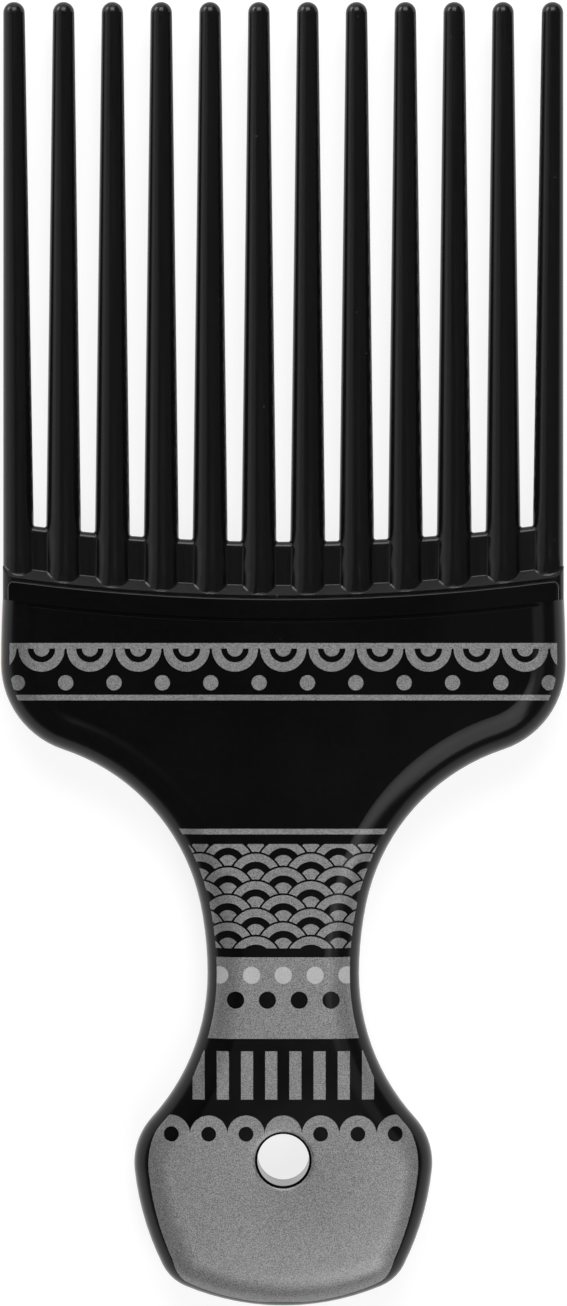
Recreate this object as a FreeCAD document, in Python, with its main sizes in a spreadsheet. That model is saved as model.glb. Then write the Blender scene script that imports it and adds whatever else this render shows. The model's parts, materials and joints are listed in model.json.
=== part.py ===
import FreeCAD, Part
import math
import os
import Sketcher

# Driving sizes: millimetres, shares and one count; levels are measured from the pommel's end towards the tips
SIZES = {
    # Whole pick
    "overall_length": 190.0,
    "handle_thickness": 11.0,
    # Handle outline, from the pommel up to the mouth
    "pommel_width": 43.46,
    "pommel_end_radius": 37.06,
    "pommel_corner_radius": 6.54,
    "pommel_side_radius": 40.93,
    "pommel_side_level": 24.24,
    "pommel_shoulder_radius": 9.65,
    "waist_width": 22.12,
    "waist_level": 48.41,
    "lower_waist_radius": 31.25,
    "upper_waist_radius": 50.0,
    "flare_radius": 30.07,
    "flare_height": 45.11,
    "head_width": 82.3,
    "head_corner_radius": 13.19,
    "head_side_radius": 190.0,
    "head_side_height": 6.58,
    # Bands above the mouth, arched about one centre far above the tips
    "mouth_arch_radius": 301.2,
    "lip_height": 2.9,
    "slope_rise": 1.9,
    "web_height": 6.4,
    # Shells
    "seam_land": 0.3,
    "shell_wall": 2.2,
    "lip_inset": 1.25,
    "lip_corner_radius": 1.0,
    "lip_edge_round": 0.35,
    "groove_width": 0.6,
    "groove_depth": 0.22,
    "groove_floor_share": 0.25,
    "seam_rim_height": 1.2,
    "seam_rim_width": 1.0,
    "hang_hole_diameter": 7.5,
    "hang_hole_level": 21.6,
    "hang_hole_rim_round": 0.9,
    "hang_tube_wall": 2.0,
    # Tines: an even row, in which the outer pair is slimmer at the root
    "comb_inset": 0.3,
    "tine_count": 12,
    "tine_row_margin": 1.69,
    "tine_root_share": 0.7514,
    "outer_tine_root_share": 0.653,
    "outer_tine_root_step": 0.13,
    "tine_tip_radius": 1.57,
    "tine_foot_fillet": 0.4,
    "tine_web_fillet": 0.3,
    # Root, web and tongue of the comb
    "root_cover": 0.025,
    "root_side_round": 1.6,
    "slope_depth": 1.45,
    "web_edge_share": 0.36,
    "tongue_inset": 4.65,
    "tongue_length": 12.1,
    "tongue_step": 0.3,
    "tongue_corner_radius": 3.0,
    # Pegs through the tongue, and the locating pin at the waist
    "peg_diameter": 3.0,
    "inner_peg_share": 0.3,
    "outer_peg_share": 0.82,
    "peg_socket_depth": 1.3,
    "pin_rise": 3.6,
    "pin_diameter": 2.4,
    "pin_boss_diameter": 5.2,
    "pin_length": 2.4,
    # Clearance on each side of a seated piece
    "seat_clearance": 0.1,
}

# Two lengths match when they differ by less than this share of the overall length
MATCH_SHARE = 1e-6

# Sketch geometry that is always there, and the points of an arc or line
BASE_LINE, MIDDLE_LINE = range(-1, -3, -1)
START, END, CENTRE = range(1, 4)
ORIGIN_POINT = (BASE_LINE, START)
UPWARDS = FreeCAD.Vector(0, 0, 1)

# Levels that several pieces share, as expressions of the sheet
HEAD_LEVEL = "(Sizes.waist_level + Sizes.flare_height)"
MOUTH_LEVEL = f"({HEAD_LEVEL} + Sizes.head_side_height)"
LIP_LEVEL = f"({MOUTH_LEVEL} + Sizes.lip_height)"
SLOPE_LEVEL = f"({LIP_LEVEL} + Sizes.slope_rise)"
FLOOR_LEVEL = f"({SLOPE_LEVEL} + Sizes.web_height)"
ARCH_CENTRE = f"({MOUTH_LEVEL} + Sizes.mouth_arch_radius)"
TONGUE_LEVEL = f"({MOUTH_LEVEL} - Sizes.tongue_length)"
PEG_LEVEL = f"({MOUTH_LEVEL} - Sizes.tongue_length / 2)"
PIN_LEVEL = "(Sizes.waist_level + Sizes.pin_rise)"

# Widths and depths that follow from the head, the tine row and the thickness
COMB_WIDTH = "(Sizes.head_width - 2 * Sizes.comb_inset)"
LIP_WIDTH = "(Sizes.head_width - 2 * Sizes.lip_inset)"
TONGUE_WIDTH = "(Sizes.head_width - 2 * Sizes.tongue_inset)"
TINE_PITCH = f"(({COMB_WIDTH} - 2 * Sizes.tine_row_margin) / (Sizes.tine_count - 1))"
TINE_DIAMETER = f"({TINE_PITCH} * Sizes.tine_root_share)"
OUTER_TINE_DIAMETER = f"({TINE_PITCH} * Sizes.outer_tine_root_share)"
ROOT_DEPTH = f"({TINE_DIAMETER} + 2 * Sizes.root_cover)"
WEB_DEPTH = f"({ROOT_DEPTH} - 2 * Sizes.slope_depth)"
TONGUE_DEPTH = f"({ROOT_DEPTH} - 2 * Sizes.tongue_step)"
HALF_THICKNESS = "(Sizes.handle_thickness / 2)"
EDGE_ROUND = f"({HALF_THICKNESS} - Sizes.seam_land)"
HOLLOW_DEPTH = f"({HALF_THICKNESS} - Sizes.shell_wall)"
BOSS_LENGTH = f"({HALF_THICKNESS} - Sizes.shell_wall / 2)"

# Seats: each takes the size of the piece in it and the clearance
SLOT_DEPTH = f"({TONGUE_DEPTH} / 2 + Sizes.seat_clearance)"
SLOT_LEVEL = f"({TONGUE_LEVEL} - Sizes.seat_clearance)"
LIP_UNDERSIDE = f"({ROOT_DEPTH} / 2 + Sizes.seat_clearance)"
PEG_HOLE_DIAMETER = "(Sizes.peg_diameter + 2 * Sizes.seat_clearance)"

# Arcs of the handle's right side from the pommel to the mouth: radius alias, and whether it bulges out
SIDE_ARCS = [
    ("pommel_corner_radius", True),
    ("pommel_side_radius", True),
    ("pommel_shoulder_radius", True),
    ("lower_waist_radius", False),
    ("upper_waist_radius", False),
    ("flare_radius", False),
    ("head_corner_radius", True),
    ("head_side_radius", True),
]
POMMEL_SIDE, POMMEL_SHOULDER, LOW_WAIST, HIGH_WAIST, FLARE, HEAD_CORNER, HEAD_SIDE = range(2, 9)

# Where the centres of those arcs are held: distance from the middle, and level; touching gives the rest
ARC_CENTRES = [
    (POMMEL_SIDE, None, "Sizes.pommel_side_level"),
    (POMMEL_SHOULDER, "Sizes.pommel_width / 2 - Sizes.pommel_shoulder_radius", None),
    (LOW_WAIST, "Sizes.waist_width / 2 + Sizes.lower_waist_radius", "Sizes.waist_level"),
    (HIGH_WAIST, None, "Sizes.waist_level"),
    (HEAD_CORNER, "Sizes.head_width / 2 - Sizes.head_corner_radius", HEAD_LEVEL),
    (HEAD_SIDE, None, HEAD_LEVEL),
]

doc = FreeCAD.newDocument("afro_pick")
sheet = doc.addObject("Spreadsheet::Sheet", "Sizes")
for row, (alias, value) in enumerate(SIZES.items(), start=1):
    sheet.set(f"A{row}", alias)
    sheet.set(f"B{row}", str(value))
    sheet.setAlias(f"B{row}", alias)
doc.recompute()


def worth(expression):
    """Number that an expression of the sheet gives now."""
    result = sheet.evalExpression(expression)
    return float(getattr(result, "Value", result))


def size(alias):
    """Number in a size's cell."""
    return worth(f"Sizes.{alias}")


def point(across, level):
    return FreeCAD.Vector(across, level, 0)


def flipped(spot, sign):
    """Point itself (1) or its mirror image across the middle (-1)."""
    return point(sign * spot.x, spot.y)


def crossing(centre_a, radius_a, centre_b, radius_b):
    """Crossing of two circles that lies on the right of the way from the first to the second."""
    way = centre_b - centre_a
    gap = way.Length
    along = (radius_a ** 2 - radius_b ** 2 + gap ** 2) / (2 * gap)
    off = math.sqrt(radius_a ** 2 - along ** 2)
    ahead = way / gap
    return centre_a + ahead * along + FreeCAD.Vector(ahead.y, -ahead.x, 0) * off


def arch_point(level, across):
    """Point of the shared arch that crosses the middle at a level."""
    centre_level = worth(ARCH_CENTRE)
    return point(across, centre_level - math.sqrt((centre_level - level) ** 2 - across ** 2))


def origin_part(body, role):
    """Plane or axis of a body's own origin."""
    return next(part for part in body.Origin.OriginFeatures if part.Role == role)


class Drawing:
    """Sketch in a body's middle plane, or above it, with constraints that follow the sheet."""

    def __init__(self, body, name, lift=None):
        self.sketch = body.newObject("Sketcher::SketchObject", name)
        self.sketch.AttachmentSupport = [(origin_part(body, "XY_Plane"), "")]
        self.sketch.MapMode = "FlatFace"
        if lift:
            self.sketch.setExpression("AttachmentOffset.Base.z", lift)

    def rule(self, kind, *where):
        self.sketch.addConstraint(Sketcher.Constraint(kind, *where))

    def hold(self, kind, *where, by):
        index = self.sketch.addConstraint(Sketcher.Constraint(kind, *where, worth(by)))
        self.sketch.setExpression(f"Constraints[{index}]", by)

    def put(self, spot, sign, across, level):
        """Hold a point to the right (1), to the left (-1) or in the middle (0), at a level."""
        if sign == 0:
            self.rule("PointOnObject", *spot, MIDDLE_LINE)
        elif across:
            ends = (*ORIGIN_POINT, *spot) if sign > 0 else (*spot, *ORIGIN_POINT)
            self.hold("DistanceX", *ends, by=across)
        if level:
            self.hold("DistanceY", *ORIGIN_POINT, *spot, by=level)

    def line(self, start, end, construction=False):
        return self.sketch.addGeometry(Part.LineSegment(start, end), construction)

    def arc(self, centre, start, end):
        """Anticlockwise arc about a centre."""
        first, last = start - centre, end - centre
        begin = math.atan2(first.y, first.x)
        finish = math.atan2(last.y, last.x)
        if finish <= begin:
            finish += math.tau
        circle = Part.Circle(centre, UPWARDS, first.Length)
        return self.sketch.addGeometry(Part.ArcOfCircle(circle, begin, finish), False)

    def arch(self, level, across):
        """Stretch of the shared arch through a level, from the left to the right."""
        right = arch_point(worth(level), across)
        index = self.arc(point(0, worth(ARCH_CENTRE)), flipped(right, -1), right)
        self.put((index, CENTRE), 0, None, ARCH_CENTRE)
        self.hold("Radius", index, by=f"{ARCH_CENTRE} - ({level})")
        return index

    def circle(self, sign, across, level, diameter):
        centre = point(sign * worth(across), worth(level))
        index = self.sketch.addGeometry(Part.Circle(centre, UPWARDS, worth(diameter) / 2), False)
        self.put((index, CENTRE), sign, across, level)
        self.hold("Diameter", index, by=diameter)
        return self.sketch

    def peg_circles(self, diameter):
        """Circles of the four pegs through the tongue."""
        for share in ("inner_peg_share", "outer_peg_share"):
            for sign in (1, -1):
                self.circle(sign, f"{TONGUE_WIDTH} * Sizes.{share} / 2", PEG_LEVEL, diameter)
        return self.sketch

    def band(self, low_level, high_level, width):
        """Outline between two levels of the arch, with straight ends."""
        half = worth(width) / 2
        low, high = arch_point(worth(low_level), half), arch_point(worth(high_level), half)
        low_arc, high_arc = self.arch(low_level, half), self.arch(high_level, half)
        for sign, end in ((1, END), (-1, START)):
            side = self.line(flipped(low, sign), flipped(high, sign))
            self.rule("Vertical", side)
            self.rule("Coincident", side, START, low_arc, end)
            self.rule("Coincident", side, END, high_arc, end)
            self.put((side, START), sign, f"({width}) / 2", None)
        return self.sketch

    def handle(self, top_level, inset="0"):
        """Outline of the handle below an arched top edge, set in from the outside by an inset."""
        inset_now = worth(inset)
        # A top edge below the head's sides meets the head's corners instead
        arcs = SIDE_ARCS if worth(top_level) > worth(HEAD_LEVEL) else SIDE_ARCS[:HEAD_CORNER]
        centres = side_centres()
        bends = [size("pommel_end_radius")]
        bends += [size(alias) if bulges else -size(alias) for alias, bulges in arcs]
        # Points where neighbours touch, up the right side; the last one is the corner of the top edge
        joints = []
        for number in range(len(arcs)):
            normal = (centres[number + 1] - centres[number]) / (bends[number] - bends[number + 1])
            joints.append(centres[number] + normal * (bends[number] - inset_now))
        arch_centre = point(0, worth(ARCH_CENTRE))
        arch_radius = arch_centre.y - worth(top_level)
        joints.append(crossing(centres[len(arcs)], bends[-1] - inset_now, arch_centre, arch_radius))
        end_arc = self.arc(centres[0], flipped(joints[0], -1), joints[0])
        self.put((end_arc, CENTRE), 0, None, "Sizes.pommel_end_radius")
        self.hold("Radius", end_arc, by=f"Sizes.pommel_end_radius - ({inset})")
        top_arc = self.arch(top_level, joints[-1].x)
        for sign, end in ((1, END), (-1, START)):
            drawn = {}
            below = (end_arc, end)
            for number, (alias, bulges) in enumerate(arcs, start=1):
                centre = flipped(centres[number], sign)
                low, high = flipped(joints[number - 1], sign), flipped(joints[number], sign)
                if bulges == (sign > 0):
                    drawn[number] = self.arc(centre, low, high)
                    foot, head = START, END
                else:
                    drawn[number] = self.arc(centre, high, low)
                    foot, head = END, START
                self.rule("Tangent", *below, drawn[number], foot)
                change = "-" if bulges else "+"
                self.hold("Radius", drawn[number], by=f"Sizes.{alias} {change} ({inset})")
                below = (drawn[number], head)
            self.rule("Coincident", *below, top_arc, end)
            for number, across, level in ARC_CENTRES:
                if number in drawn:
                    self.put((drawn[number], CENTRE), sign, across, level)
        return self.sketch


def side_centres():
    """Centres of the pommel's end arc and of the arcs in SIDE_ARCS, each touching its neighbours."""
    end_radius, corner_radius = size("pommel_end_radius"), size("pommel_corner_radius")
    side_radius, shoulder_radius = size("pommel_side_radius"), size("pommel_shoulder_radius")
    low_radius, high_radius = size("lower_waist_radius"), size("upper_waist_radius")
    flare_radius, head_radius = size("flare_radius"), size("head_corner_radius")
    head, waist = size("head_width") / 2, size("waist_width") / 2
    end = point(0, end_radius)
    low_waist = point(waist + low_radius, size("waist_level"))
    high_waist = point(waist + high_radius, size("waist_level"))
    head_corner = point(head - head_radius, worth(HEAD_LEVEL))
    head_side = point(head - size("head_side_radius"), worth(HEAD_LEVEL))
    shoulder_across = size("pommel_width") / 2 - shoulder_radius
    drop = math.sqrt((low_radius + shoulder_radius) ** 2 - (low_waist.x - shoulder_across) ** 2)
    shoulder = point(shoulder_across, low_waist.y - drop)
    rise = size("pommel_side_level") - shoulder.y
    back = math.sqrt((side_radius - shoulder_radius) ** 2 - rise ** 2)
    side = point(shoulder.x - back, size("pommel_side_level"))
    corner = crossing(side, side_radius - corner_radius, end, end_radius - corner_radius)
    flare = crossing(head_corner, head_radius + flare_radius, high_waist, high_radius - flare_radius)
    return [end, corner, side, shoulder, low_waist, high_waist, flare, head_corner, head_side]


def feature(body, kind, name, **sizes):
    """New feature at the body's tip, with sizes bound to the sheet."""
    made = body.newObject(f"PartDesign::{kind}", name)
    for key, expression in sizes.items():
        made.setExpression(key, expression)
    return made


def finished(made):
    """Feature after a recompute that worked."""
    doc.recompute()
    if not made.isValid() or made.Shape.isNull():
        raise RuntimeError(f"{made.Name} did not build: {made.getStatusString()}")
    return made


def pad(body, name, sketch, length, back=None, both_ways=False):
    """Pad above the sketch; it may also go back below it, or be centred on it."""
    made = feature(body, "Pad", name, Length=length)
    made.Profile = sketch
    if both_ways:
        made.SideType = "Symmetric"
    if back:
        made.SideType = "Two sides"
        made.setExpression("Length2", back)
    return finished(made)


def pocket(body, name, sketch, depth=None, upwards=True, taper=None):
    """Pocket up or down from the sketch, or right through the body where no depth is given."""
    made = feature(body, "Pocket", name)
    made.Profile = sketch
    if taper:
        made.setExpression("TaperAngle", taper)
    if depth:
        made.Reversed = upwards
        made.setExpression("Length", depth)
    else:
        made.Type = "ThroughAll"
        made.SideType = "Symmetric"
    finished(made)
    if made.Shape.Volume >= made.BaseFeature.Shape.Volume:
        raise RuntimeError(f"{name} cuts nothing")
    return made


def dressed(body, kind, name, base, wanted, **sizes):
    """Fillet or chamfer on the edges of a feature that pass a test."""
    made = feature(body, kind, name, **sizes)
    numbered = enumerate(base.Shape.Edges, start=1)
    made.Base = (base, [f"Edge{number}" for number, edge in numbered if wanted(edge)])
    return finished(made)


def same(first, second):
    return abs(first - second) < MATCH_SHARE * size("overall_length")


def at_height(edge, height):
    return all(same(vertex.Z, height) for vertex in edge.Vertexes)


def on_arch(edge, level):
    """Whether an edge is a stretch of the shared arch through a level."""
    curve = edge.Curve
    return isinstance(curve, Part.Circle) and same(curve.Radius, worth(ARCH_CENTRE) - level)


def upright_at(edge, corner):
    """Whether an edge runs straight through the thickness at a point or at its mirror image."""
    start, end = edge.Vertexes[0].Point, edge.Vertexes[-1].Point
    upright = same(start.x, end.x) and same(start.y, end.y) and not same(start.z, end.z)
    return upright and same(abs(start.x), corner.x) and same(start.y, corner.y)


def shell(name, hollow_level, hollow_inset):
    """Half of the handle, with its seam in the middle plane and its outer face upwards."""
    body = doc.addObject("PartDesign::Body", name)
    face_height = worth(HALF_THICKNESS)
    outline = Drawing(body, f"{name}_outline").handle(MOUTH_LEVEL)
    blank = pad(body, f"{name}_blank", outline, HALF_THICKNESS)

    def outer_edge(edge):
        return at_height(edge, face_height) and not on_arch(edge, worth(MOUTH_LEVEL))

    dressed(body, "Fillet", f"{name}_edge", blank, outer_edge, Radius=EDGE_ROUND)

    # Lip over the comb's root, with a fine groove of sloping sides below it
    lip_outline = Drawing(body, f"{name}_lip_outline", LIP_UNDERSIDE)
    lip_outline.band(MOUTH_LEVEL, LIP_LEVEL, LIP_WIDTH)
    lip = pad(body, f"{name}_lip", lip_outline.sketch, f"{HALF_THICKNESS} - {LIP_UNDERSIDE}")
    lip_corner = arch_point(worth(LIP_LEVEL), worth(LIP_WIDTH) / 2)
    corners = dressed(body, "Fillet", f"{name}_lip_corners", lip,
                      lambda edge: upright_at(edge, lip_corner), Radius="Sizes.lip_corner_radius")

    def lip_edge(edge):
        return at_height(edge, face_height) and on_arch(edge, worth(LIP_LEVEL))

    dressed(body, "Fillet", f"{name}_lip_edge", corners, lip_edge, Radius="Sizes.lip_edge_round")
    groove_outline = Drawing(body, f"{name}_groove_outline", HALF_THICKNESS)
    groove_outline.band(f"{MOUTH_LEVEL} - Sizes.groove_width", MOUTH_LEVEL, "Sizes.head_width")
    groove_run = "Sizes.groove_width * (1 - Sizes.groove_floor_share) / 2"
    pocket(body, f"{name}_groove", groove_outline.sketch, "Sizes.groove_depth", upwards=False,
           taper=f"-atan({groove_run} / Sizes.groove_depth)")

    # Hollow below the slot for the comb's tongue
    hollow_outline = Drawing(body, f"{name}_hollow_outline").handle(hollow_level, hollow_inset)
    pocket(body, f"{name}_hollow", hollow_outline, HOLLOW_DEPTH)
    slot_outline = Drawing(body, f"{name}_slot_outline")
    slot_outline.band(SLOT_LEVEL, MOUTH_LEVEL, f"{TONGUE_WIDTH} + 2 * Sizes.seat_clearance")
    pocket(body, f"{name}_slot", slot_outline.sketch, SLOT_DEPTH)

    # Boss of the locating pin, and the tube of the hang hole
    boss_outline = Drawing(body, f"{name}_boss_outline")
    boss_outline.circle(0, "0", PIN_LEVEL, "Sizes.pin_boss_diameter")
    pad(body, f"{name}_boss", boss_outline.sketch, BOSS_LENGTH)
    tube_outline = Drawing(body, f"{name}_tube_outline")
    tube_diameter = "Sizes.hang_hole_diameter + 2 * Sizes.hang_tube_wall"
    tube_outline.circle(0, "0", "Sizes.hang_hole_level", tube_diameter)
    pad(body, f"{name}_tube", tube_outline.sketch, BOSS_LENGTH)
    bore_outline = Drawing(body, f"{name}_bore_outline")
    bore_outline.circle(0, "0", "Sizes.hang_hole_level", "Sizes.hang_hole_diameter")
    bore = pocket(body, f"{name}_bore", bore_outline.sketch)

    def bore_edge(edge):
        ring = isinstance(edge.Curve, Part.Circle) and same(edge.Curve.Radius, size("hang_hole_diameter") / 2)
        return ring and at_height(edge, face_height)

    dressed(body, "Fillet", f"{name}_bore_rim", bore, bore_edge, Radius="Sizes.hang_hole_rim_round")
    return body


def front_shell():
    """Front half of the handle, with sockets for the pegs and for the locating pin."""
    name = "front_shell"
    body = shell(name, SLOT_LEVEL, "Sizes.shell_wall")
    sockets = Drawing(body, f"{name}_socket_outline")
    sockets.peg_circles(PEG_HOLE_DIAMETER)
    pocket(body, f"{name}_sockets", sockets.sketch, f"{SLOT_DEPTH} + Sizes.peg_socket_depth")
    pin_hole = Drawing(body, f"{name}_pin_hole_outline")
    pin_hole.circle(0, "0", PIN_LEVEL, "Sizes.pin_diameter + 2 * Sizes.seat_clearance")
    pocket(body, f"{name}_pin_hole", pin_hole.sketch, "Sizes.pin_length + Sizes.seat_clearance")
    return body


def rear_shell():
    """Rear half of the handle, with the pegs, the locating pin and a rim inside the seam."""
    name = "rear_shell"
    rim_level = f"{SLOT_LEVEL} - Sizes.seat_clearance"
    rim_inset = "Sizes.shell_wall + Sizes.seat_clearance"
    hollow_level = f"{rim_level} - Sizes.seam_rim_width"
    hollow_inset = f"{rim_inset} + Sizes.seam_rim_width"
    body = shell(name, hollow_level, hollow_inset)
    rim = Drawing(body, f"{name}_rim_outline")
    rim.handle(rim_level, rim_inset)
    rim.handle(hollow_level, hollow_inset)
    pad(body, f"{name}_rim", rim.sketch, "Sizes.shell_wall", back="Sizes.seam_rim_height")
    pegs = Drawing(body, f"{name}_peg_outline").peg_circles("Sizes.peg_diameter")
    peg_reach = f"{SLOT_DEPTH} + Sizes.peg_socket_depth - Sizes.seat_clearance"
    pad(body, f"{name}_pegs", pegs, BOSS_LENGTH, back=peg_reach)
    pin = Drawing(body, f"{name}_pin_outline").circle(0, "0", PIN_LEVEL, "Sizes.pin_diameter")
    pad(body, f"{name}_pin", pin, BOSS_LENGTH, back="Sizes.pin_length")
    return body


def tine(body, name, root_across, root_level, tip_across, root_diameter):
    """Round tapered tine with a domed tip on the left of the middle, turned about its own axis."""
    drawing = Drawing(body, f"{name}_profile")
    root_radius, tip_radius = worth(root_diameter) / 2, size("tine_tip_radius")
    root = point(-worth(root_across), worth(root_level))
    tip = point(-worth(tip_across), size("overall_length"))
    ahead = (tip - root).normalize()
    aside = FreeCAD.Vector(ahead.y, -ahead.x, 0)
    dome = tip - ahead * tip_radius
    reach = (dome - root).Length
    taper = math.acos(tip_radius / math.hypot(root_radius, reach)) - math.atan2(reach, root_radius)
    foot = root + aside * root_radius
    shoulder = dome + (ahead * math.sin(taper) + aside * math.cos(taper)) * tip_radius
    core = drawing.line(root, tip)
    base = drawing.line(root, foot)
    flank = drawing.line(foot, shoulder)
    cap = drawing.arc(dome, shoulder, tip)
    axis = drawing.line(root, tip, construction=True)
    drawing.rule("Coincident", core, START, base, START)
    drawing.rule("Coincident", base, END, flank, START)
    drawing.rule("Tangent", flank, END, cap, START)
    drawing.rule("Coincident", cap, END, core, END)
    drawing.rule("Coincident", axis, START, core, START)
    drawing.rule("Coincident", axis, END, core, END)
    drawing.rule("Perpendicular", core, base)
    drawing.rule("PointOnObject", cap, CENTRE, core)
    drawing.put((core, START), -1, root_across, root_level)
    drawing.put((core, END), -1, tip_across, "Sizes.overall_length")
    drawing.hold("Distance", base, by=f"({root_diameter}) / 2")
    drawing.hold("Radius", cap, by="Sizes.tine_tip_radius")
    made = feature(body, "Revolution", name)
    made.Profile = drawing.sketch
    made.ReferenceAxis = (drawing.sketch, ["Axis0"])
    return finished(made)


def tines(body):
    """Row of inner tines, and the outer pair whose outsides run straight up from the root's ends."""
    row_start = f"{TINE_PITCH} * (Sizes.tine_count - 3) / 2"
    inner = tine(body, "inner_tine", row_start, LIP_LEVEL, row_start, TINE_DIAMETER)
    row = feature(body, "LinearPattern", "tine_row", Offset=TINE_PITCH, Occurrences="Sizes.tine_count - 2")
    row.Originals = [inner]
    row.Direction = (origin_part(body, "X_Axis"), [""])
    row.Mode = "Spacing"
    body.Tip = row
    finished(row)
    # The outer pair starts a step above the mouth's arch, which is highest at the ends
    arch_rise = f"{COMB_WIDTH} ^ 2 / (8 * Sizes.mouth_arch_radius)"
    outer_level = f"{MOUTH_LEVEL} + {arch_rise} + Sizes.outer_tine_root_step"
    outer_root = f"({COMB_WIDTH} - {OUTER_TINE_DIAMETER}) / 2"
    outer_tip = f"{COMB_WIDTH} / 2 - Sizes.tine_tip_radius"
    outer = tine(body, "outer_tine", outer_root, outer_level, outer_tip, OUTER_TINE_DIAMETER)
    pair = feature(body, "Mirrored", "outer_tine_pair")
    pair.Originals = [outer]
    pair.MirrorPlane = (origin_part(body, "YZ_Plane"), [""])
    body.Tip = pair
    return finished(pair)


def lengthwise(face):
    """Whether a face is a cone along the pick, as a tine's flank is."""
    return isinstance(face.Surface, Part.Cone) and abs(face.Surface.Axis.y) > abs(face.Surface.Axis.z)


def beside_tine(base, surface):
    """Test for the edges of a feature where a tine meets one kind of surface."""
    def wanted(edge):
        faces = base.Shape.ancestorsOfType(edge, Part.Face)
        others = [face for face in faces if not lengthwise(face)]
        return len(faces) - len(others) == 1 and any(isinstance(face.Surface, surface) for face in others)
    return wanted


def tine_comb():
    """Tines, web, sloped shoulder, root and tongue in one moulding about its middle plane."""
    body = doc.addObject("PartDesign::Body", "tine_comb")
    root_outline = Drawing(body, "root_outline")
    root_outline.band(MOUTH_LEVEL, SLOPE_LEVEL, COMB_WIDTH)
    root = pad(body, "root", root_outline.sketch, ROOT_DEPTH, both_ways=True)
    slope = dressed(body, "Chamfer", "shoulder_slope", root, lambda edge: on_arch(edge, worth(SLOPE_LEVEL)),
                    Size="Sizes.slope_depth")

    def root_side(edge):
        start, end = edge.Vertexes[0].Point, edge.Vertexes[-1].Point
        along = same(start.x, end.x) and same(start.z, end.z)
        return along and same(abs(start.z), worth(ROOT_DEPTH) / 2)

    dressed(body, "Fillet", "root_sides", slope, root_side, Radius="Sizes.root_side_round")

    # Web between the tines, rounded along the gap floors
    web_outline = Drawing(body, "web_outline")
    web_outline.band(MOUTH_LEVEL, FLOOR_LEVEL, f"{COMB_WIDTH} - {OUTER_TINE_DIAMETER}")
    web = pad(body, "web", web_outline.sketch, WEB_DEPTH, both_ways=True)
    dressed(body, "Fillet", "web_top", web, lambda edge: on_arch(edge, worth(FLOOR_LEVEL)),
            Radius=f"{WEB_DEPTH} * Sizes.web_edge_share")

    # Tongue between the shells, with a hole for each peg
    tongue_outline = Drawing(body, "tongue_outline")
    tongue_outline.band(TONGUE_LEVEL, MOUTH_LEVEL, TONGUE_WIDTH)
    tongue = pad(body, "tongue", tongue_outline.sketch, TONGUE_DEPTH, both_ways=True)
    tongue_corner = arch_point(worth(TONGUE_LEVEL), worth(TONGUE_WIDTH) / 2)
    dressed(body, "Fillet", "tongue_corners", tongue, lambda edge: upright_at(edge, tongue_corner),
            Radius="Sizes.tongue_corner_radius")
    peg_holes = Drawing(body, "peg_hole_outline")
    pocket(body, "peg_holes", peg_holes.peg_circles(PEG_HOLE_DIAMETER))

    # Tines, blended into the slope and then into the web
    row = tines(body)
    feet = dressed(body, "Fillet", "tine_feet", row, beside_tine(row, Part.Cone),
                   Radius="Sizes.tine_foot_fillet")
    dressed(body, "Fillet", "tine_webs", feet, beside_tine(feet, Part.Plane),
            Radius="Sizes.tine_web_fillet")
    return body


comb = tine_comb()
front = front_shell()
rear = rear_shell()

# Lay the pick on its back with its middle over the origin
middle = FreeCAD.Vector(0, -size("overall_length") / 2, worth(HALF_THICKNESS))
half_turn = FreeCAD.Rotation(FreeCAD.Vector(0, 1, 0), 180)
comb.Placement = FreeCAD.Placement(middle, FreeCAD.Rotation())
front.Placement = FreeCAD.Placement(middle, FreeCAD.Rotation())
rear.Placement = FreeCAD.Placement(middle, half_turn)
doc.recompute()

for made in doc.Objects:
    if "Invalid" in made.State or "Error" in made.State:
        raise RuntimeError(f"{made.Name} did not build: {made.State}")
os.makedirs("parts", exist_ok=True)
for body in (comb, front, rear):
    if body.Shape.isNull() or not body.Shape.isValid():
        raise RuntimeError(f"{body.Label} is not a valid solid")
    body.Shape.exportStep(f"parts/{body.Label}.step")
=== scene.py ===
import json
import math

import bpy
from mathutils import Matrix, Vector
from mathutils.bvhtree import BVHTree
from mathutils.geometry import delaunay_2d_cdt


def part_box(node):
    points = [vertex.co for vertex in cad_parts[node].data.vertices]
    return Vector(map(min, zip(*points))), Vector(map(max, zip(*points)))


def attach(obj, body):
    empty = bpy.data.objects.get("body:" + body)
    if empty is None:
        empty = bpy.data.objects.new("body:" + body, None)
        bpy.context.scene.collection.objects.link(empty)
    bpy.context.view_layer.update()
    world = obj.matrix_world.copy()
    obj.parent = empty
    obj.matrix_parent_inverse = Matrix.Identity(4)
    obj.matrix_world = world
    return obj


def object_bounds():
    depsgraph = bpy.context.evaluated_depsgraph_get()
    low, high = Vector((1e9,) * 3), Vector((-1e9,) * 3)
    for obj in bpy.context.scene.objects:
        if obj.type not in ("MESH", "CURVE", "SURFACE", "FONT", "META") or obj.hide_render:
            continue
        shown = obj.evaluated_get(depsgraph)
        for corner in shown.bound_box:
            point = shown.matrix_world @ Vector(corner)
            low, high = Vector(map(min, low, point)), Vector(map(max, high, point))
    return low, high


MM = 0.001
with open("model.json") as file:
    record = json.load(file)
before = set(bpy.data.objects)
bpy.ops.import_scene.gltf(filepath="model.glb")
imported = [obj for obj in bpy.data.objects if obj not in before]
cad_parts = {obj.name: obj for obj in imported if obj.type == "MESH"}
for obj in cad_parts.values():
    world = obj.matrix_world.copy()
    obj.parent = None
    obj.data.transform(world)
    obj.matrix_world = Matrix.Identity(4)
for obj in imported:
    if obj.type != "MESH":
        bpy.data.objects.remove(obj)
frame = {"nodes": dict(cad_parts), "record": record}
cad_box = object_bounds()
nodes = frame["nodes"]
shell = nodes["front_shell"]
shell_low, shell_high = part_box("front_shell")
scene = bpy.context.scene


# Materials

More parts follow.
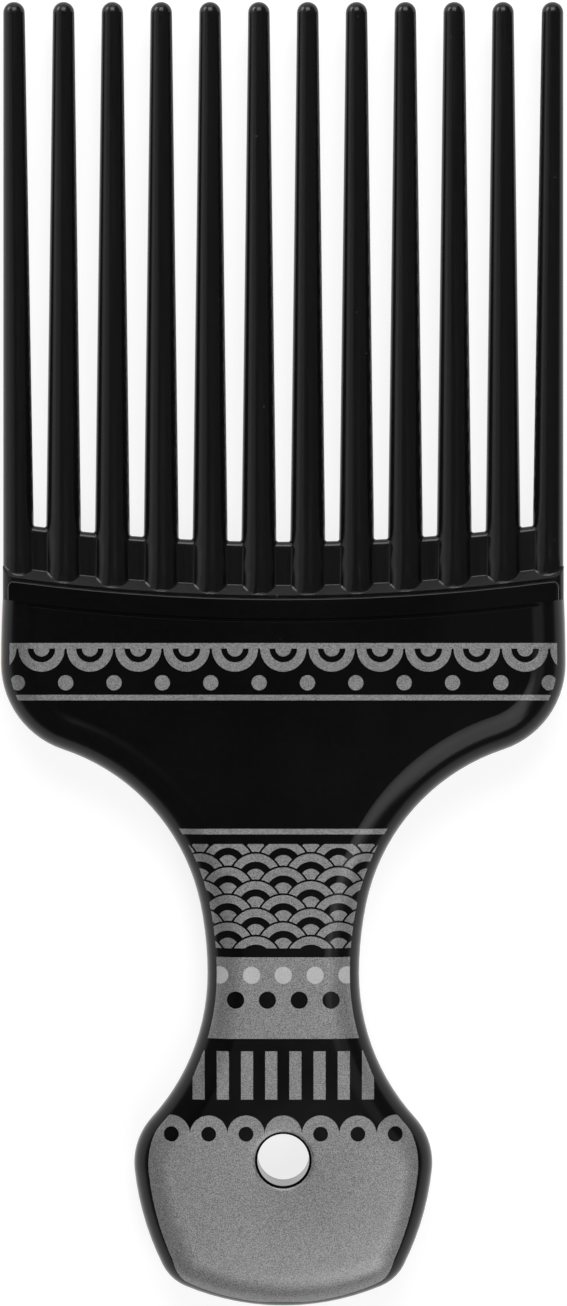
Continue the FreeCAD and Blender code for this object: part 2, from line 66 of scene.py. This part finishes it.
class Look:
    """Procedural material around one Principled shader."""

    def __init__(self, name, **fixed):
        self.material = bpy.data.materials.new(name)
        self.material.use_nodes = True
        self.tree = self.material.node_tree
        self.shader = self.tree.nodes["Principled BSDF"]
        for socket, value in fixed.items():
            self.shader.inputs[socket.replace("_", " ")].default_value = value
        self.place = self.add("ShaderNodeTexCoord").outputs["Object"]

    def add(self, kind, links=(), **sockets):
        """New node, with some sockets fed by others and some set to a value."""
        node = self.tree.nodes.new(kind)
        for socket, value in sockets.items():
            node.inputs[socket.replace("_", " ")].default_value = value
        for socket, source in dict(links).items():
            self.tree.links.new(source, node.inputs[socket])
        return node

    def stretched(self, *scale):
        """Place in the frame, scaled along each axis by itself."""
        return self.add("ShaderNodeMapping", {"Vector": self.place}, Scale=scale).outputs["Vector"]

    def noise(self, scale, detail, place=None):
        node = self.add("ShaderNodeTexNoise", {"Vector": place or self.place}, Scale=scale, Detail=detail)
        return node.outputs["Fac"]

    def span(self, source, low, high, start=0.35, end=0.65):
        """Part of a texture's range, spread between two values."""
        node = self.add("ShaderNodeMapRange", {"Value": source})
        for socket, value in zip(("From Min", "From Max", "To Min", "To Max"), (start, end, low, high)):
            node.inputs[socket].default_value = value
        return node.outputs["Result"]

    def tones(self, source, *stops):
        """Grey tones along a texture's range, as pairs of place and value."""
        node = self.add("ShaderNodeValToRGB", {"Fac": source})
        set_greys(node.color_ramp, stops)
        return node.outputs["Color"]

    def bump(self, height, strength, depth, before=None):
        """Bump of a depth in metres, over an earlier one if there is one."""
        links = {"Height": height}
        if before:
            links["Normal"] = before
        node = self.add("ShaderNodeBump", links, Strength=strength, Distance=depth)
        return node.outputs["Normal"]

    def feed(self, **sources):
        """Lead textures into the shader's sockets."""
        for socket, source in sources.items():
            self.tree.links.new(source, self.shader.inputs[socket.replace("_", " ")])


def set_greys(ramp, stops):
    """Give a ramp its grey stops, as pairs of place and value."""
    while len(ramp.elements) < len(stops):
        ramp.elements.new(1.0)
    for element, (place, value) in zip(ramp.elements, stops):
        element.position = place
        element.color = (value, value, value, 1.0)


def comb_plastic():
    """Satin black moulding, with faint draw lines along the tines and rare dust."""
    look = Look("comb_plastic", IOR=1.4)
    lines = look.noise(scale=1.0, detail=3.0, place=look.stretched(2600.0, 24.0, 2600.0))
    grain = look.noise(scale=5200.0, detail=3.0)
    dust = look.noise(scale=900.0, detail=1.0)
    lined = look.bump(lines, strength=0.05, depth=0.01 * MM)
    look.feed(Base_Color=look.tones(dust, (0.3, 0.0024), (0.62, 0.003), (0.8, 0.004), (0.86, 0.04)),
              Roughness=look.span(lines, low=0.2, high=0.25),
              Normal=look.bump(grain, strength=0.06, depth=0.01 * MM, before=lined))
    return look.material


def handle_plastic():
    """Gloss black moulding, with a slight orange peel, uneven gloss and rare dust."""
    look = Look("handle_plastic", IOR=1.3)
    peel = look.noise(scale=260.0, detail=2.0)
    marks = look.noise(scale=70.0, detail=5.0)
    dust = look.noise(scale=1100.0, detail=1.0)
    look.feed(Base_Color=look.tones(dust, (0.3, 0.0024), (0.62, 0.003), (0.82, 0.0036), (0.88, 0.05)),
              Roughness=look.span(marks, low=0.155, high=0.205),
              Normal=look.bump(peel, strength=0.05, depth=0.08 * MM))
    return look.material


def ink(name, dark, light, metallic, roughness):
    """Screen-printed ink with a fine fleck and a slightly cloudy cover."""
    look = Look(name, Metallic=metallic, IOR=1.45)
    fleck = look.noise(scale=6400.0, detail=3.0)
    cloud = look.noise(scale=90.0, detail=3.0)
    grain = look.noise(scale=4200.0, detail=2.0)
    tone = look.tones(fleck, (0.34, dark), (0.5, (dark + light) / 2), (0.66, light))
    shade = look.add("ShaderNodeMix")
    shade.data_type = "RGBA"
    shade.blend_type = "MULTIPLY"
    shade.inputs["Factor"].default_value = 1.0
    look.tree.links.new(tone, shade.inputs["A"])
    look.tree.links.new(look.tones(cloud, (0.3, 0.94), (0.7, 1.0)), shade.inputs["B"])
    look.feed(Base_Color=shade.outputs["Result"],
              Roughness=look.span(fleck, low=roughness - 0.08, high=roughness + 0.08),
              Normal=look.bump(grain, strength=0.12, depth=0.01 * MM))
    return look.material


def paint(piece, material):
    piece.data.materials.clear()
    piece.data.materials.append(material)


gloss = handle_plastic()
paint(nodes["tine_comb"], comb_plastic())
paint(nodes["front_shell"], gloss)
paint(nodes["rear_shell"], gloss)


# Printed design
# Drawn flat in millimetres: across from the middle, and level from the pommel's end towards the tips

POMMEL_END = shell_low.y / MM    # where level 0 lies
hang_hole = next(mount for mount in frame["record"]["mounts"] if mount["name"] == "hang_hole")
HOLE_LEVEL = hang_hole["pos_m"][1] / MM - POMMEL_END
HOLE_RADIUS = hang_hole["dims"]["r_mm"]
HOLE_BARE = HOLE_RADIUS + 0.4    # radius up to which the rim has no ink
HOLE_STEPS = 64                  # points round each of the hole's rings

# Half widths that the motifs are drawn to, past the margin that cuts them off
HEAD_REACH = 45
BAND_REACH = 40
ROW_REACH = 30

NONE, SILVER, PALE = range(3)
drawn = []                       # (ink, outline), later ones on top


def draw(kind, outline):
    drawn.append((kind, outline))


def ring(across, level, radius, start=0, end=360, steps=36, fewest=8):
    """Points round a circle, or round the part of it between two angles."""
    span = end - start
    count = max(fewest, round(steps * span / 360))
    angles = [math.radians(start + span * i / count) for i in range(count + (span < 360))]
    return [(across + radius * math.cos(a), level + radius * math.sin(a)) for a in angles]


def disc(kind, *place, **part):
    """Disc, or the part of one, with the values that a ring takes."""
    draw(kind, ring(*place, **part))


def bar(kind, left, right, low, high):
    draw(kind, [(left, low), (right, low), (right, high), (left, high)])


def band(kind, low, high, reach=BAND_REACH):
    """Bar right across the handle."""
    bar(kind, -reach, reach, low, high)


def places(pitch, reach=ROW_REACH, shift=0.0):
    """Even places from left to right, with one in the middle or half a pitch from it."""
    count = math.ceil(reach / pitch)
    return [(i + shift) * pitch for i in range(-count, count + 1)]


def head_band(low, high, line, pitch):
    """Two lines with a row of hanging arches and dots between them."""
    arch, arch_hollow, arch_core = 3.35, 2.0, 1.15
    dot, dot_rise = 1.1, 2.55
    for across in places(pitch, HEAD_REACH):
        disc(SILVER, across, high, arch, start=180)
        disc(NONE, across, high, arch_hollow, start=180)
        disc(SILVER, across, high, arch_core, start=180)
    for across in places(pitch, HEAD_REACH, shift=0.5):
        disc(SILVER, across, low + dot_rise, dot)
    band(SILVER, high, high + line, HEAD_REACH)
    band(SILVER, low, low + line, HEAD_REACH)


def scale_field(low, high, radius):
    """Rows of overlapping round scales, each with a bare line round it, a ring and a core."""
    ring_share, hollow_share, core_share = 0.93, 0.64, 0.38
    row_height = radius / 2
    rows = math.ceil((high - low) / row_height) + 2
    for row in range(rows, -1, -1):
        level = low - radius + row * row_height
        for across in places(2 * radius, shift=0.5 * (row % 2)):
            disc(NONE, across, level, radius)
            disc(SILVER, across, level, radius * ring_share)
            disc(NONE, across, level, radius * hollow_share)
            disc(SILVER, across, level, radius * core_share)
    band(NONE, low - 2 * radius, low)
    band(NONE, high, high + 2 * radius)


def dotted_block(low, high, pitch, radius):
    """Plain block with a row of pale dots and a row of open ones."""
    pale_drop, open_drop = 2.6, 6.2
    band(SILVER, low, high)
    for across in places(pitch):
        disc(PALE, across, high - pale_drop, radius)
    for across in places(pitch, shift=0.5):
        disc(NONE, across, high - open_drop, radius)


def bar_row(low, high, pitch):
    """Row of upright bars, as wide as the gaps between them."""
    for across in places(pitch, shift=0.5):
        bar(SILVER, across - pitch / 4, across + pitch / 4, low, high)


def pommel_field(low, high, pitch):
    """Plain field with a scalloped upper edge, and a dot in each scallop but the middle one."""
    band(SILVER, low, high, ROW_REACH)
    for across in places(pitch):
        disc(SILVER, across, high, pitch / 2, end=180)
        if across != 0:
            disc(NONE, across, high, pitch / 5)


scale_field(low=52.3, high=67.4, radius=4.0)
band(SILVER, low=68.8, high=69.6)
head_band(low=88.2, high=95.7, line=0.8, pitch=7.0)
dotted_block(low=39.2, high=51.0, pitch=4.6, radius=1.25)
bar_row(low=30.4, high=37.4, pitch=3.5)
pommel_field(low=-2, high=25.4, pitch=5.4)
disc(NONE, 0, HOLE_LEVEL, HOLE_BARE, steps=HOLE_STEPS)


# Films of ink, cut from the design and laid on the front shell, in millimetres too

FILM = 0.055                     # height of the ink over the plastic
GRID = 0.8                       # longest step along the film's outlines
MERGE = 0.002                    # distance within which two points become one
RINGS = (0.9, 1.2, 1.6, 2.0, 2.4, 2.9, 3.5, 4.2, 5.25)      # insets that follow the rounded margin
HOLE_RINGS = (HOLE_RADIUS + 0.65, HOLE_RADIUS + 0.95)       # radii that follow the hole's rounded rim

# Levels at which the outline is measured: close together at the pommel's end, then even from 1 to 100
END_LEVELS = [0.05, 0.15, 0.3, 0.5, 0.75]
EVEN_LEVELS = [0.5 * i for i in range(2, 201)]
END_HALF = 0.5                   # half width at the pommel's end that the outline leaves out
SEAM = shell_low.z / MM + 0.1    # height just over the seam, where the outline is widest
BESIDE = shell_high.x / MM + 20  # places outside the shell, from which it is measured
ABOVE = shell_high.z / MM + 10

# Bare margin round the print, and the widths that it has at the pommel's end and sides
PRINT_MARGIN = 1.45
END_MARGIN = 0.7
SIDE_MARGIN = 2.2
POMMEL_TOP = 36                  # level at which the one margin starts to turn into the others
POMMEL_BLEND = 8                 # height that this takes

surface = BVHTree.FromPolygons([vertex.co for vertex in shell.data.vertices],
                               [polygon.vertices for polygon in shell.data.polygons])


def silhouette():
    """Right side of the shell's outline just over the seam, from the pommel's end upwards."""
    outline = []
    for level in END_LEVELS + EVEN_LEVELS:
        start = Vector((BESIDE * MM, (level + POMMEL_END) * MM, SEAM * MM))
        hit, _, _, _ = surface.ray_cast(start, Vector((-1, 0, 0)))
        outline.append((hit.x / MM, level))
    return outline


def inset_outline(margin_at):
    """Handle's outline moved inwards, by a margin that may depend on the level and on the way out."""
    side = silhouette()
    edge = []
    for before, here, after in zip(side, side[1:], side[2:]):
        along = Vector((after[0] - before[0], after[1] - before[1])).normalized()
        out = Vector((along.y, -along.x))
        margin = margin_at(here[1], out)
        edge.append((here[0] - out.x * margin, here[1] - out.y * margin))
    edge = [spot for spot in edge if spot[0] > END_HALF]
    return [(-across, level) for across, level in reversed(edge)] + edge


def print_margin(level, out):
    """Bare margin round the print: narrower at the pommel's end, wider at its sides."""
    pommel_share = min(1.0, max(0.0, (POMMEL_TOP - level) / POMMEL_BLEND))
    pommel_margin = END_MARGIN + (SIDE_MARGIN - END_MARGIN) * out.x ** 2
    return PRINT_MARGIN + pommel_share * (pommel_margin - PRINT_MARGIN)


def divided(outline):
    """Outline with no step longer than the film's grid."""
    spots = []
    for (ax, ay), (bx, by) in zip(outline, outline[1:] + outline[:1]):
        count = max(1, math.ceil(math.hypot(bx - ax, by - ay) / GRID))
        spots += [(ax + (bx - ax) * i / count, ay + (by - ay) * i / count) for i in range(count)]
    return spots


def inside(spot, outline):
    """Whether a spot lies in an outline, by counting the edges to its right."""
    across, level = spot
    hit = False
    for (ax, ay), (bx, by) in zip(outline, outline[1:] + outline[:1]):
        if (ay > level) != (by > level) and across < ax + (level - ay) * (bx - ax) / (by - ay):
            hit = not hit
    return hit


def boxed(outline):
    xs, ys = zip(*outline)
    return min(xs), max(xs), min(ys), max(ys)


def cut_plan(clip):
    """Spots and faces of one flat mesh that is cut along every outline and ring."""
    rings = [inset_outline(lambda level, out, inset=inset: inset) for inset in RINGS]
    rings += [ring(0, HOLE_LEVEL, radius, steps=HOLE_STEPS) for radius in HOLE_RINGS]
    points, edges = [], []
    for outline in [clip] + rings + [outline for _, outline in drawn]:
        outline = divided(outline)
        first = len(points)
        points += [Vector(spot) for spot in outline]
        edges += [(first + i, first + (i + 1) % len(outline)) for i in range(len(outline))]
    spots, _, faces, _, _, _ = delaunay_2d_cdt(points, edges, [], 0, MERGE, False)
    return spots, faces


def inked_faces(spots, faces, clip):
    """Faces of each ink, by what is drawn on top at their middle."""
    layers = [(kind, outline, boxed(outline)) for kind, outline in reversed(drawn)]

    def ink_at(spot):
        if not inside(spot, clip):
            return NONE
        for kind, outline, (left, right, low, high) in layers:
            if left <= spot[0] <= right and low <= spot[1] <= high and inside(spot, outline):
                return kind
        return NONE

    chosen = {SILVER: [], PALE: []}
    for face in faces:
        middle = sum((spots[i] for i in face), Vector((0, 0))) / len(face)
        kind = ink_at(middle)
        if kind != NONE:
            chosen[kind].append(face)
    return chosen


def film(name, spots, faces):
    """Piece made of the given faces, laid on the shell's front."""
    used = sorted({i for face in faces for i in face})
    number = {old: new for new, old in enumerate(used)}
    corners = []
    for i in used:
        start = Vector((spots[i].x * MM, (spots[i].y + POMMEL_END) * MM, ABOVE * MM))
        hit, out, _, _ = surface.ray_cast(start, Vector((0, 0, -1)))
        corners.append(hit + out * FILM * MM)
    mesh = bpy.data.meshes.new(name)
    mesh.from_pydata(corners, [], [[number[i] for i in face] for face in faces])
    mesh.validate()
    mesh.shade_smooth()
    piece = bpy.data.objects.new(name, mesh)
    scene.collection.objects.link(piece)
    return piece


print_edge = inset_outline(print_margin)
plan_spots, plan_faces = cut_plan(print_edge)
inked = inked_faces(plan_spots, plan_faces, print_edge)
silver_print = film("silver_print", plan_spots, inked[SILVER])
pale_print = film("pale_print", plan_spots, inked[PALE])
silver_ink = ink("silver_ink", dark=0.15, light=0.48, metallic=0.5, roughness=0.42)
pale_ink = ink("pale_ink", dark=0.54, light=0.7, metallic=0.1, roughness=0.45)
for piece, slot, material in (
    (silver_print, "silver_ink", silver_ink),
    (pale_print, "pale_ink", pale_ink),
):
    paint(piece, material)
    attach(piece, "root")


# Stage, light and camera, in metres and degrees

FLOOR_HALF = 30.0
FLOOR_DROP = 0.05 * MM           # how far the floor lies under the rear face
FLOOR_GREY = 0.32                # share of the light that the floor scatters
FLOOR_GLOW = 0.82                # glow that lifts it to white where it is seen or mirrored
SKY = ((0.0, 0.75), (0.12, 0.14), (0.85, 0.12), (0.97, 0.04))         # pairs of height and brightness
LIGHT_DISTANCE = 1.4
CAMERA_DISTANCE = 0.765          # from the middle of the thickness, as the hang hole's far rim shows
CAMERA_ACROSS = 0.03 * MM        # the camera's place over the middle of the pick
CAMERA_ALONG = 0.07 * MM
VIEW_HEIGHT = 0.19044            # length that the picture takes in at the middle of the thickness
MIDDLE_HEIGHT = (cad_box[0][2] + cad_box[1][2]) / 2


def floor_paint():
    """Matt grey, with a glow for the rays that see it straight, mirrored or through something clear."""
    material = bpy.data.materials.new("floor")
    material.use_nodes = True
    tree = material.node_tree
    tree.nodes.clear()
    out = tree.nodes.new("ShaderNodeOutputMaterial")
    both = tree.nodes.new("ShaderNodeAddShader")
    matt = tree.nodes.new("ShaderNodeBsdfDiffuse")
    matt.inputs["Color"].default_value = (FLOOR_GREY, FLOOR_GREY, FLOOR_GREY, 1)
    glow = tree.nodes.new("ShaderNodeEmission")
    path = tree.nodes.new("ShaderNodeLightPath")
    seen = path.outputs["Is Camera Ray"]
    for ray in ("Is Glossy Ray", "Is Transmission Ray"):
        either = tree.nodes.new("ShaderNodeMath")
        either.operation = "MAXIMUM"
        tree.links.new(seen, either.inputs[0])
        tree.links.new(path.outputs[ray], either.inputs[1])
        seen = either.outputs[0]
    level = tree.nodes.new("ShaderNodeMath")
    level.operation = "MULTIPLY"
    level.inputs[1].default_value = FLOOR_GLOW
    tree.links.new(seen, level.inputs[0])
    tree.links.new(level.outputs[0], glow.inputs["Strength"])
    tree.links.new(matt.outputs[0], both.inputs[0])
    tree.links.new(glow.outputs[0], both.inputs[1])
    tree.links.new(both.outputs[0], out.inputs["Surface"])
    return material


def floor():
    """Pale floor that stays white to the eye and still takes a soft shadow."""
    mesh = bpy.data.meshes.new("floor")
    corners = [(x * FLOOR_HALF, y * FLOOR_HALF, 0) for x, y in ((-1, -1), (1, -1), (1, 1), (-1, 1))]
    mesh.from_pydata(corners, [], [(0, 1, 2, 3)])
    mesh.materials.append(floor_paint())
    piece = bpy.data.objects.new("floor", mesh)
    piece.location.z = -FLOOR_DROP
    scene.collection.objects.link(piece)


def softbox(name, azimuth, polar, wide, tall, radiance, only=None):
    """Soft light aimed at the middle, for the whole object or for one node only.

    Azimuth goes round from +X and polar down from straight above; wide and tall are the angles it spans.
    """
    lamp = bpy.data.lights.new(name, "AREA")
    lamp.shape = "RECTANGLE"
    lamp.size = 2 * LIGHT_DISTANCE * math.tan(math.radians(wide) / 2)
    lamp.size_y = 2 * LIGHT_DISTANCE * math.tan(math.radians(tall) / 2)
    lamp.energy = radiance * math.pi * lamp.size * lamp.size_y
    piece = bpy.data.objects.new(name, lamp)
    a, p = math.radians(azimuth), math.radians(polar)
    way = Vector((math.cos(a) * math.sin(p), math.sin(a) * math.sin(p), math.cos(p)))
    piece.location = way * LIGHT_DISTANCE
    piece.rotation_euler = way.to_track_quat("Z", "Y").to_euler()
    piece.visible_camera = False
    scene.collection.objects.link(piece)
    if only:
        lit = bpy.data.collections.new(name)
        lit.objects.link(only)
        piece.light_linking.receiver_collection = lit


def sky():
    """Dim studio round the object, darker straight above and pale at the horizon."""
    world = bpy.data.worlds.new("studio")
    scene.world = world
    world.use_nodes = True
    tree = world.node_tree
    place = tree.nodes.new("ShaderNodeTexCoord")
    split = tree.nodes.new("ShaderNodeSeparateXYZ")
    ramp = tree.nodes.new("ShaderNodeValToRGB")
    tree.links.new(place.outputs["Generated"], split.inputs[0])
    tree.links.new(split.outputs["Z"], ramp.inputs["Fac"])
    set_greys(ramp.color_ramp, SKY)
    tree.links.new(ramp.outputs["Color"], tree.nodes["Background"].inputs["Color"])


def camera():
    """Camera straight above the middle, with the pick's length along the picture's height."""
    lens = bpy.data.cameras.new("camera")
    lens.sensor_fit = "AUTO"
    lens.sensor_width = 36.0
    lens.lens = lens.sensor_width * CAMERA_DISTANCE / VIEW_HEIGHT
    lens.clip_start, lens.clip_end = 0.01, 100.0
    piece = bpy.data.objects.new("camera", lens)
    piece.location = (CAMERA_ACROSS, CAMERA_ALONG, MIDDLE_HEIGHT + CAMERA_DISTANCE)
    scene.collection.objects.link(piece)
    scene.camera = piece


floor()
sky()
comb = nodes["tine_comb"]
softbox("key", azimuth=-64, polar=36, wide=32, tall=50, radiance=2.4)
softbox("handle_side", azimuth=-14, polar=28, wide=44, tall=32, radiance=0.55, only=shell)
softbox("top", azimuth=90, polar=43, wide=36, tall=26, radiance=5.4)
softbox("back", azimuth=92, polar=76, wide=50, tall=17, radiance=1.2)
softbox("comb_left", azimuth=178, polar=72, wide=50, tall=30, radiance=0.75, only=comb)
softbox("comb_fill", azimuth=176, polar=42, wide=50, tall=30, radiance=0.35, only=comb)
softbox("comb_rim", azimuth=138, polar=74, wide=26, tall=22, radiance=7.0, only=comb)
camera()
scene.view_settings.view_transform = "Standard"
